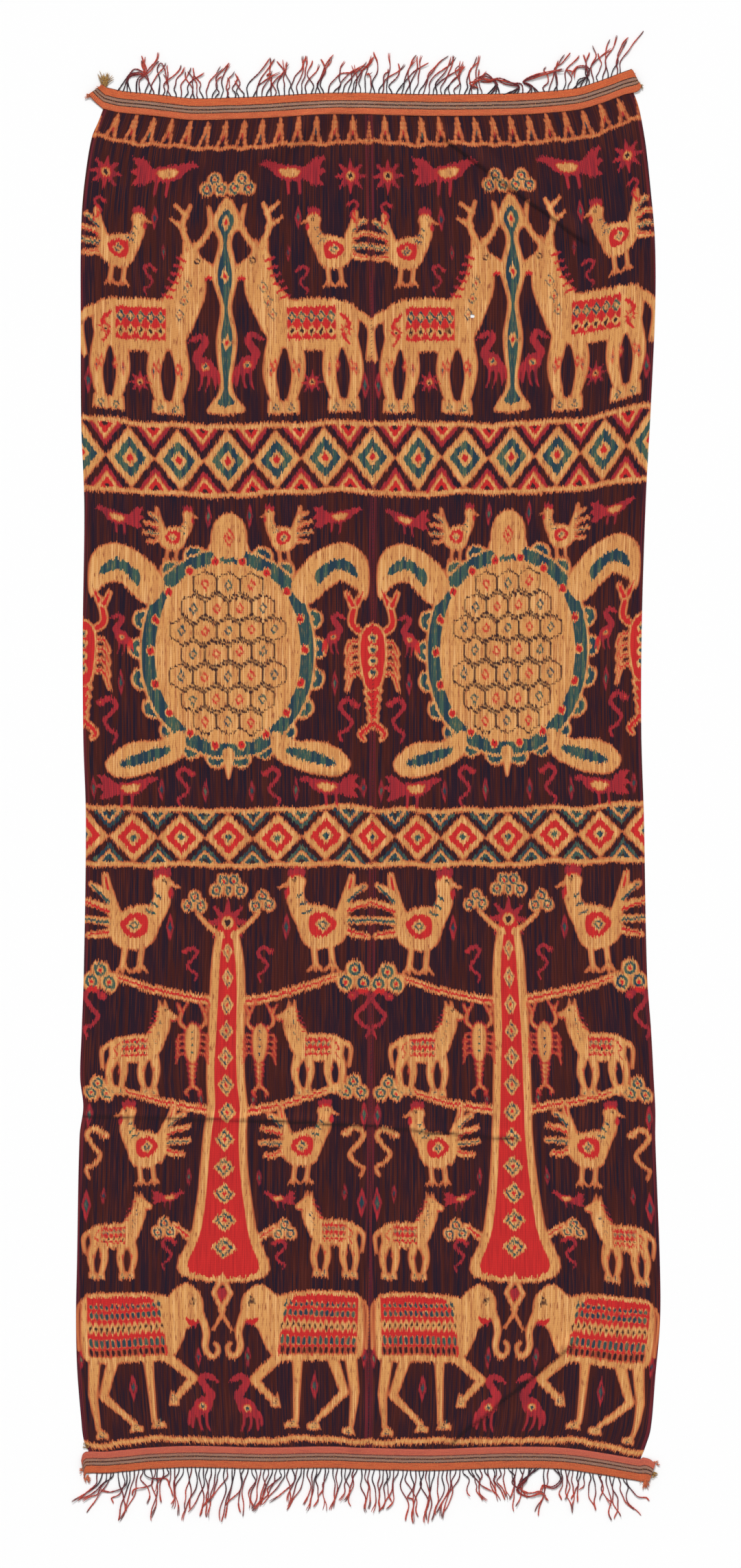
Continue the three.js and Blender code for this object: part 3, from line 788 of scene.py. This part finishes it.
# Stripes of a band from its outer edge to its inner one: where each ends, and its colour
STRIPES = [(1.4, (104, 56, 42)), (14.6, (208, 96, 56)), (16.6, (60, 38, 36)), (21.0, (152, 120, 106)),
    (23.8, (52, 34, 32)), (27.8, (154, 120, 104)), (29.8, (60, 38, 34)), (41.0, (206, 98, 62)),
    (44.0, (144, 66, 46))]


def band_material():
    """Weft faced bands: stripes of yarn with flecks of a yellow weft, ribbed across."""
    m = Nodes("band_cotton", 0.86)
    x, y, side = m.split(m.attribute("weave"))
    across = m.plus(y, m.times(m.minus(m.streaks(x, y, 26, 40, 3.0), 0.5), 1.6))
    thread = m.streaks(x, y, 30, 0.9, 5.0, 3.0)
    rib = m.wave(x, 2.6)
    changes = [(across, end - 0.35, end + 0.35, shade) for (end, _), (_, shade) in zip(STRIPES, STRIPES[1:])]
    colour = m.paint(STRIPES[0][1], *changes, (thread, 0.5, 0.75, (134, 64, 44)))
    fleck = m.ramp(m.streaks(x, y, 1.7, 1.7, 0.0, 1.0), 0.58, 0.68)
    colour = m.mix(m.times(fleck, 0.55), colour, (238, 160, 88))
    colour = m.mix(m.times(m.ramp(rib, 0.3, 1.0), 0.16), colour, (92, 46, 36))
    bottom = m.maths("LESS_THAN", side, 0.0)
    colour = m.mix(m.times(bottom, m.ramp(y, 24, 34)), colour, m.mix(0.35, colour, (190, 92, 96)))
    colour = m.mix(m.times(bottom, 0.16), colour, (112, 56, 44))
    m.bump(m.plus(m.times(rib, 0.5), m.times(thread, 1.5)), 0.0007, 0.7)
    return m.done(colour)


def yarn_material(name, root, middle, tip):
    """Twisted yarn that changes colour along its length, with each strand a little different, and painted
    shade in the groove of each turn of its twist.
    """
    m = Nodes(name, 0.88, 0.3)
    along, chance, twist = m.split(m.attribute("yarn"))
    along = m.plus(along, m.times(m.minus(chance, 0.5), 0.4))
    colour = m.paint(root, (along, 0.1, 0.45, middle), (along, 0.4, 0.8, tip),
        (along, 0.9, 1.05, (128, 74, 72)))
    # painted shade: dark bands once a turn, where the plies twist into each other
    twist_shade = m.times(m.ramp(m.wave(twist, 1), 0.2, 1.0), 0.35)
    return m.done(m.mix(twist_shade, colour, (60, 22, 26)))


def plain_yarn(name, shade, deep):
    m = Nodes(name, 0.9, 0.3)
    cloudy = m.noise(m.add("TexCoord", {})["Object"], scale=500)
    return m.done(m.paint(shade, (cloudy, 0.4, 0.65, deep)))


# Meshes


def linked(name, data):
    obj = bpy.data.objects.new(name, data)
    bpy.context.scene.collection.objects.link(obj)
    return obj


def mesh_object(name, points, faces, material):
    """An object in metres from points in the tables' millimetres."""
    placed = (np.asarray(points, float) + (SHIFT_X, SHIFT_Y, 0)) * MM
    mesh = bpy.data.meshes.new(name)
    mesh.from_pydata(placed.tolist(), [], faces.tolist(), shade_flat=False)
    mesh.validate()
    mesh.materials.append(material)
    obj = linked(name, mesh)
    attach(obj, "root")
    return obj


def mark(obj, name, *columns):
    """Writes one, three or four numbers for each point of a mesh."""
    kinds = {1: ("FLOAT", "value"), 3: ("FLOAT_VECTOR", "vector"), 4: ("FLOAT_COLOR", "color")}
    kind, key = kinds[len(columns)]
    attribute = obj.data.attributes.new(name, kind, "POINT")
    attribute.data.foreach_set(key, np.stack(columns, axis=1).astype(np.float32).ravel())


def grid_faces(rows, columns):
    """Faces of a grid of points whose columns run right and rows run down, facing up."""
    j, i = np.meshgrid(np.arange(rows - 1), np.arange(columns - 1), indexing="ij")
    corner = (j * columns + i).ravel()
    return np.stack([corner, corner + columns, corner + columns + 1, corner + 1], axis=1)


def add_bake_map(obj, across, down):
    """A map that spreads the sheet over one square."""
    layer = obj.data.uv_layers.new(name="OFBake")
    vertex = np.empty(len(obj.data.loops), np.int32)
    obj.data.loops.foreach_get("vertex_index", vertex)
    layer.data.foreach_set("uv", np.stack([across[vertex], down[vertex]], axis=1).astype(np.float32).ravel())


# The panels

PANEL_CELLS = (168, 586)  # across and down
UNDER_BAND = 3.0  # how far a panel's end runs under the band woven on it
HOLE = (1, 198.5, 891.5, 4.6)  # a worn hole: side, X, Y, radius
STAIN = (150.0, 864.0, 5.5)  # X, Y, radius


def panel(side, name, node, field, material):
    out = np.linspace(0, 1, PANEL_CELLS[0] + 1)
    down = np.linspace(-UNDER_BAND, PANEL_LENGTH + UNDER_BAND, PANEL_CELLS[1] + 1)
    out, down = (a.ravel() for a in np.meshgrid(out if side > 0 else out[::-1], down))
    x, y = lay_panel(side, out, down)
    tucked = smoothstep(np.minimum(down, PANEL_LENGTH - down), -UNDER_BAND, 5)
    seam_dip = 0.5 * np.exp(-(out * PANEL_WIDTH / 5) ** 2)
    z = cloth_height(x, y) - (1 - tucked) * 1.0 - seam_dip
    z = 0.5 + (z - 0.5) * smoothstep((1 - out) * PANEL_WIDTH, -1, 9)
    points = np.stack([x, y, np.clip(z, 0.2, None)], axis=1)
    faces = grid_faces(PANEL_CELLS[1] + 1, PANEL_CELLS[0] + 1)
    if side == HOLE[0]:
        away = points[:, :2] - HOLE[1:3]
        distance = np.hypot(*away.T)
        ragged = HOLE[3] * (1 + 0.12 * np.sin(3 * np.arctan2(away[:, 1], away[:, 0]) + 1))
        inside = distance < ragged
        pushed = away * (ragged / np.maximum(distance, 0.1))[:, None]
        points[inside, :2] = np.array(HOLE[1:3]) + pushed[inside]
        middle = points[faces].mean(axis=1)[:, :2] - HOLE[1:3]
        faces = faces[np.hypot(*middle.T) > HOLE[3] * 0.86]
    obj = mesh_object(name, points, faces, material)
    across = (out - 0.5) * PANEL_WIDTH * side
    drift_u = 3.0 * ripple(across, down, 260, 20 + side)
    drift_v = 5.0 * ripple(across, down, 190, 40 + side)
    drift_v = drift_v * smoothstep(np.minimum(down, PANEL_LENGTH - down), 20, 160)
    read = [field.sampled(dye, across + drift_u, down + drift_v) for dye in DYES]
    mark(obj, "ikat", *(distance / FAR for distance, _ in read))
    mark(obj, "ikat_slope", *(slope for _, slope in read))
    mark(obj, "weave", across, down, np.full_like(across, side))
    stain_off = np.hypot(x - STAIN[0], y - STAIN[1]) + 1.5 * ripple(x, y, 7, 70)
    mark(obj, "stain", 1 - smoothstep(stain_off, STAIN[2] - 2, STAIN[2] + 2))
    # mask for the painted shade along the sharp creases
    mark(obj, "crease_shade", folds_at(x, y)[1])
    add_bake_map(obj, across / PANEL_WIDTH + 0.5, 1 - (down + UNDER_BAND) / (PANEL_LENGTH + 2 * UNDER_BAND))
    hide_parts(node)
    return obj


# The bands. Each end is a fan about the outer corner: the ends of its rows, from the last straight
# one out, as X and Y at the outer edge and at the inner one.

BAND_ENDS = {(1, -1): [(-503, 1331, -511, 1290), (-507, 1334, -526, 1303), (-511, 1336, -538, 1317)],
    (1, 1): [(504, 1366, 512, 1321), (507, 1363, 519, 1325), (509, 1359, 523, 1332)],
    (-1, -1): [(-542, -1329, -543, -1287), (-544, -1333, -549, -1292), (-545, -1338, -552, -1304)],
    (-1, 1): [(533, -1346, 526, -1298), (535, -1346, 539, -1301), (538, -1344, 550, -1310)]}
BAND_CORNER = {(1, -1): -501, (1, 1): 503, (-1, -1): -541, (-1, 1): 532}
BAND_STEP = 4.0
BAND_ROWS = 20
CUT = 3  # straight rows that each fan takes the place of


def band(side, name, node, material):
    """A band from its left end to its right one, with rows from its outer to its inner edge."""
    left, right = BAND_CORNER[side, -1], BAND_CORNER[side, 1]
    x = np.linspace(left, right, int((right - left) / BAND_STEP))
    outer = np.stack([x, end_line(side, x, 0)], axis=1)
    inner = np.stack([x, end_line(side, x, BAND_WIDTH)], axis=1)
    ends = [np.array(BAND_ENDS[side, end], float) for end in (-1, 1)]
    first, last = (smooth_line(end[:, :2], 4) for end in ends)
    outer = np.vstack([first[::-1], outer[CUT:-CUT], last])
    first, last = (smooth_line(end[:, 2:], 4) for end in ends)
    inner = np.vstack([first[::-1], inner[CUT:-CUT], last])
    share = np.linspace(0, 1, BAND_ROWS + 1)[:, None, None]
    flat = outer[None] * (1 - share) + inner[None] * share
    along = np.concatenate([[0], np.cumsum(np.hypot(*np.diff((outer + inner) / 2, axis=0).T))])
    u = np.broadcast_to(along, flat.shape[:2])
    v = np.broadcast_to(share[:, :, 0] * BAND_WIDTH, flat.shape[:2])
    px, py = flat[..., 0], flat[..., 1]
    rim = np.minimum(v, BAND_WIDTH - v)
    rounded = smoothstep(rim, -0.5, 2.5)
    from_end = np.minimum(u, along[-1] - u)
    curl = 3.2 * np.exp(-(from_end / 9) ** 2)
    weave = 0.35 * ripple(px, py, 24, 12) + 0.5 * ripple(px, py * 0.3, 60, 15)
    z = 1.0 + folds_at(px, py)[0] + 0.9 * rounded + curl + np.clip(weave, -0.4, None) + 0.5
    points = np.stack([px, py, z], axis=2)
    if side < 0:
        points, u, v = points[::-1], u[::-1], v[::-1]
    points = points.reshape(-1, 3)
    obj = mesh_object(name, points, grid_faces(BAND_ROWS + 1, len(along)), material)
    mark(obj, "weave", u.ravel(), v.ravel(), np.full(u.size, side))
    add_bake_map(obj, u.ravel() / along[-1], v.ravel() / BAND_WIDTH)
    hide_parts(node)
    return obj


# The fringes: locks from left to right, as in the part's source: width, lean, reach

LOCKS = {
    1: [(42, 44, 62), (42, 2, 68), (24, 4, 64), (62, 8, 62), (40, 22, 66), (40, 4, 52), (54, 26, 72),
        (30, 6, 70), (42, 10, 72), (32, 28, 78), (52, 34, 72), (40, 14, 76), (34, 10, 76), (46, 26, 72),
        (56, 34, 76), (60, 18, 72), (44, -4, 60), (48, -30, 36), (36, 4, 62), (20, 26, 74), (32, 0, 76),
        (22, 12, 72), (26, 16, 78), (18, 12, 76), (12, 14, 82), (20, 40, 84)],
    -1: [(42, -42, 78), (42, -20, 94), (44, -6, 102), (24, -10, 66), (40, -8, 98), (42, -10, 98),
        (38, -12, 102), (34, -10, 90), (58, -32, 78), (38, -24, 80), (34, -14, 80), (38, -10, 80),
        (36, 0, 78), (26, 0, 86), (52, -14, 80), (38, -6, 98), (36, -2, 102), (38, -18, 96), (46, 20, 60),
        (44, 14, 62), (44, -4, 80), (44, -2, 98), (44, 8, 80), (20, -14, 60), (30, 4, 70), (26, 14, 84),
        (24, 48, 76)]}
FIRST_ROOT = {1: -486.0, -1: -524.0}
STRANDS = {1: 113, -1: 131}
GATHER = 0.42
TWIST = 6.5  # length of one turn of the two plies
PLY = 0.9  # radius of a ply
PLY_SIDES = 5
STRAND_STEP = 3.2


# Strands that loop or tangle instead: from root X, to root X, then X and distance out along the way

GUIDES = {1: [(-487, -452, [(-462, 34), (-444, 41), (-428, 38), (-432, 54), (-434, 68)]),
    (-452, -436, [(-446, 26), (-430, 36), (-418, 48), (-408, 60), (-405, 72)]),
    (-410, -402, [(-405, 30), (-407, 52), (-398, 58), (-390, 44), (-391, 22)]),
    (226, 258, [(246, 22), (222, 32), (204, 28), (196, 20), (206, 14)]),
    (258, 300, [(292, 18), (272, 24), (248, 30), (232, 26), (216, 30)]),
    (300, 330, [(312, 16), (296, 22), (312, 32), (340, 42), (372, 52)]),
    (358, 366, [(358, 26), (357, 48), (368, 60), (381, 72), (386, 82)]),
    (390, 400, [(403, 16), (420, 28), (418, 42), (406, 48), (394, 40), (389, 26)]),
    (400, 408, [(408, 14), (420, 28), (419, 52), (414, 68)])],
    -1: [(-430, -420, [(-428, 12), (-414, 20), (-392, 18), (-384, 30)]),
    (-470, -462, [(-468, 26), (-490, 46), (-508, 44), (-516, 36)]),
    (-424, -414, [(-416, 26), (-430, 38), (-444, 40), (-452, 56)]),
    (300, 330, [(300, 24), (286, 40), (306, 54), (330, 50), (340, 62)]),
    (352, 366, [(368, 22), (352, 40), (336, 36), (330, 48)])]}


def guided_path(side, root_x, points, rng):
    """Points down a strand that follows a guide, a little off it."""
    reach = rng.uniform(0.88, 1.06)
    way = [(root_x, 0)] + [(x + rng.normal(0, 2.2), out * reach + rng.normal(0, 2.0)) for x, out in points]
    line = smooth_line(way, 5)
    t = np.linspace(0, 1, len(line))
    height = 1.4 + 2.2 * smoothstep(t, 0, 0.25) * (0.5 + 0.5 * np.sin(t * 8 + rng.uniform(0, math.tau)))
    y = end_line(side, root_x, 2.5) + side * line[:, 1]
    return np.stack([line[:, 0], y, height], axis=1)


def strand_path(side, root_x, lock, middle, rng):
    """Points down a strand, which gathers into its lock, waves, and may stray across it."""
    _, lean, reach = lock
    reach = reach * rng.uniform(0.9, 1.07)
    stray = rng.random()
    tip = middle + lean + GATHER * (root_x - middle) + rng.normal(0, 3.5)
    if stray < 0.36:
        tip += rng.choice((-1, 1)) * rng.uniform(10, 26)
        reach *= rng.uniform(0.7, 0.95)
    n = int(reach * 1.15 / STRAND_STEP)
    t = np.linspace(0, 1, n)
    wave = rng.uniform(2.0, 7.5) * np.sin(t * rng.uniform(4.0, 8.5) + rng.uniform(0, math.tau))
    wave = wave + rng.uniform(0.4, 1.4) * np.sin(t * rng.uniform(12, 20) + rng.uniform(0, math.tau))
    wave = wave * smoothstep(t, 0, 0.3) * (1 - 0.2 * t)
    x = root_x + (tip - root_x) * t ** rng.uniform(1.3, 2.0) + wave
    out = reach * t
    if stray > 0.94:
        loop = smoothstep(t, 0.45, 1.0)
        x = x + loop * rng.choice((-1, 1)) * rng.uniform(8, 16) * np.sin(loop * 2.6)
        out = out - loop * reach * rng.uniform(0.25, 0.5)
    height = 1.3 + 1.5 * smoothstep(t, 0, 0.3) * (0.5 + 0.5 * np.sin(t * 9 + rng.uniform(0, math.tau)))
    y = end_line(side, root_x, 2.5) + side * out
    return np.column_stack([x, y, height])


def ply_mesh(path, phase, radius, offset, flare):
    """A tube of one ply that winds about a path."""
    way = np.gradient(path, axis=0)
    way /= np.linalg.norm(way, axis=1)[:, None]
    side = np.stack([way[:, 1], -way[:, 0], np.zeros(len(way))], axis=1)
    side /= np.linalg.norm(side, axis=1)[:, None]
    up = np.cross(side, way)
    run = np.concatenate([[0], np.cumsum(np.linalg.norm(np.diff(path, axis=0), axis=1))])
    turn = np.minimum(run, run[-1] * 0.78) / TWIST * math.tau + phase
    apart = offset * (1 + flare * smoothstep(run / run[-1], 0.72, 1.0))[:, None]
    middle = path + apart * (side * np.cos(turn)[:, None] + up * np.sin(turn)[:, None])
    around = np.arange(PLY_SIDES) * math.tau / PLY_SIDES
    taper = np.ones(len(path))
    taper[-2:] = (0.8, 0.35)
    ring = side[:, None] * np.cos(around)[None, :, None] + up[:, None] * np.sin(around)[None, :, None]
    points = middle[:, None] + ring * (radius * taper)[:, None, None]
    return points.reshape(-1, 3), run


def tube_faces(rings, sides, start):
    j, k = np.meshgrid(np.arange(rings - 1), np.arange(sides), indexing="ij")
    a = start + (j * sides + k).ravel()
    b = start + (j * sides + (k + 1) % sides).ravel()
    return np.stack([a, b, b + sides, a + sides], axis=1)


def yarn_object(name, paths, material, radius=PLY, plies=2, seed=1):
    """One mesh of many twisted strands, with the way along each, its chance and its turn."""
    rng = np.random.default_rng(seed)
    points, faces, marks, start = [], [], [], 0
    for path in paths:
        chance, phase, flare = rng.random(), rng.uniform(0, math.tau), max(0, rng.normal(0, 1.7))
        for ply in range(plies):
            spread = radius * 0.8 if plies > 1 else 0.0
            ring, run = ply_mesh(path, phase + ply * math.pi, radius, spread, flare)
            points.append(ring)
            faces.append(tube_faces(len(path), PLY_SIDES, start))
            along = np.repeat(run / run[-1], PLY_SIDES)
            turn = np.repeat(run / TWIST, PLY_SIDES)
            marks.append(np.stack([along, np.full_like(along, chance), turn], axis=1))
            start += len(ring)
    points = np.vstack(points)
    points[:, 2] = np.clip(points[:, 2], 0.05, None)
    obj = mesh_object(name, points, np.vstack(faces), material)
    mark(obj, "yarn", *np.vstack(marks).T)
    return obj


def fringe(side, name, node, material):
    rng = np.random.default_rng(60 + side)
    locks = LOCKS[side]
    starts = FIRST_ROOT[side] + np.concatenate([[0], np.cumsum([lock[0] for lock in locks])])
    pitch = (starts[-1] - starts[0]) / STRANDS[side]
    paths = []
    for n in range(STRANDS[side]):
        root_x = starts[0] + (n + 0.5) * pitch
        k = int(np.searchsorted(starts, root_x)) - 1
        middle = (starts[k] + starts[k + 1]) / 2
        root_x += rng.normal(0, 1.0)
        guide = [points for start, end, points in GUIDES[side] if start <= root_x < end]
        if guide:
            paths.append(guided_path(side, root_x, guide[0], rng))
        else:
            paths.append(strand_path(side, root_x, locks[k], middle, rng))
    obj = yarn_object(name, paths, material, seed=80 + side)
    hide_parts(node)
    return obj


# Sewing and loose yarn

SEAM_STITCH = 7.5


def seam_stitches(material):
    """Small slanted stitches that hold the two selvages together."""
    paths = []
    rng = np.random.default_rng(5)
    for down in np.arange(6, PANEL_LENGTH - 4, SEAM_STITCH):
        x, y = lay_panel(1, 0.0, down)
        slant = rng.uniform(1.0, 2.0)
        t = np.linspace(-1, 1, 5)
        px = x + 2.1 * t
        py = y + slant * t + rng.normal(0, 0.3)
        z = cloth_height(px, py) - 0.1 - 0.5 * t * t
        paths.append(np.column_stack([px, py, z]))
    return yarn_object("seam_stitches", paths, material, radius=0.32, plies=1, seed=6)


# Loose yarn at the bands' corners, by its colour: X, Y, way in degrees, spread, length, count
TUFTS = {
    "rust": [(-512, 1326, 140, 60, 12, 14), (-534, 1314, 176, 50, 9, 14), (-541, -1334, -82, 56, 13, 18),
        (-548, -1322, 190, 90, 6, 14), (530, -1340, -80, 40, 19, 24), (549, -1310, 20, 80, 7, 12),
        (508, 1352, 50, 60, 7, 10)],
    "ochre": [(-507, 1334, 84, 60, 25, 40), (545, -1330, -30, 70, 9, 18), (520, 1334, 20, 90, 6, 14),
        (-541, -1278, 130, 80, 8, 8)]}


def tufts(colour, material):
    rng = np.random.default_rng(9)
    paths = []
    for x, y, way, spread, length, count in TUFTS[colour]:
        for _ in range(count):
            angle = math.radians(way + spread * rng.uniform(-0.5, 0.5))
            reach = length * rng.uniform(0.6, 1.0)
            t = np.linspace(0, 1, 7)
            turn = angle + rng.uniform(-0.5, 0.5) * t
            root = np.array((x, y)) + rng.normal(0, 2.2, 2)
            z = 1.6 + 2.2 * np.sin(t * 2.4) * rng.uniform(0.3, 1.0)
            px, py = root[0] + reach * t * np.cos(turn), root[1] + reach * t * np.sin(turn)
            paths.append(np.column_stack([px, py, z]))
    return yarn_object("loose_" + colour, paths, material, radius=0.75, plies=1, seed=10)


# Surroundings


def stage():
    mesh = bpy.data.meshes.new("floor")
    half = 6.0
    corners = [(-half, -half, 0), (half, -half, 0), (half, half, 0), (-half, half, 0)]
    mesh.from_pydata(corners, [], [(0, 1, 2, 3)])
    material = bpy.data.materials.new("pale_floor")
    material.use_nodes = True
    shader = material.node_tree.nodes["Principled BSDF"]
    shader.inputs["Base Color"].default_value = (0.93, 0.93, 0.93, 1)
    shader.inputs["Roughness"].default_value = 0.9
    mesh.materials.append(material)
    linked("floor", mesh)


def lights():
    world = bpy.data.worlds.new("studio")
    world.use_nodes = True
    background = world.node_tree.nodes["Background"]
    background.inputs["Color"].default_value = (1, 1, 1, 1)
    background.inputs["Strength"].default_value = 0.56
    bpy.context.scene.world = world
    light = bpy.data.lights.new("key", "SUN")
    light.energy = 2.5
    light.angle = math.radians(18)
    linked("key", light).rotation_euler = (math.radians(-50), math.radians(-8), 0)


# The photograph is square on: its frame in pixels, and the pixel of the tables' origin
PHOTO_SIZE = (1080, 2285)
PHOTO_ORIGIN = (537.5, 1138.0)
PIXEL = 1.317  # millimetres
CAMERA_HEIGHT = 9.0


def camera():
    view = bpy.data.cameras.new("camera")
    x = (PHOTO_SIZE[0] / 2 - PHOTO_ORIGIN[0]) * PIXEL + SHIFT_X
    y = (PHOTO_ORIGIN[1] - PHOTO_SIZE[1] / 2) * PIXEL + SHIFT_Y
    view.sensor_fit = "VERTICAL"
    view.sensor_height = 24.0
    view.lens = view.sensor_height * CAMERA_HEIGHT / (PHOTO_SIZE[1] * PIXEL * MM)
    view.clip_end = 100
    obj = linked("camera", view)
    obj.location = (x * MM, y * MM, CAMERA_HEIGHT)
    bpy.context.scene.camera = obj


camera()
stage()
lights()
bpy.context.scene.view_settings.view_transform = "Standard"

pattern = draw_pattern()
ikat = ikat_material()
striped = band_material()
fringe_yarn = yarn_material("fringe_yarn", (54, 36, 44), (128, 44, 46), (190, 72, 56))
rust_yarn = plain_yarn("rust_yarn", (204, 104, 60), (140, 66, 44))
ochre_yarn = plain_yarn("ochre_yarn", (168, 128, 66), (112, 78, 48))
sewing_yarn = plain_yarn("sewing_yarn", (70, 40, 46), (44, 28, 40))

panels = {-1: panel(-1, "ikat_left", "panel_left", pattern, ikat),
    1: panel(1, "ikat_right", "panel_right", pattern, ikat)}
bands = {1: band(1, "striped_top", "band_top", striped),
    -1: band(-1, "striped_bottom", "band_bottom", striped)}
fringes = {1: fringe(1, "strands_top", "fringe_top", fringe_yarn),
    -1: fringe(-1, "strands_bottom", "fringe_bottom", fringe_yarn)}
stitches = seam_stitches(sewing_yarn)
loose = [tufts("rust", rust_yarn), tufts("ochre", ochre_yarn)]
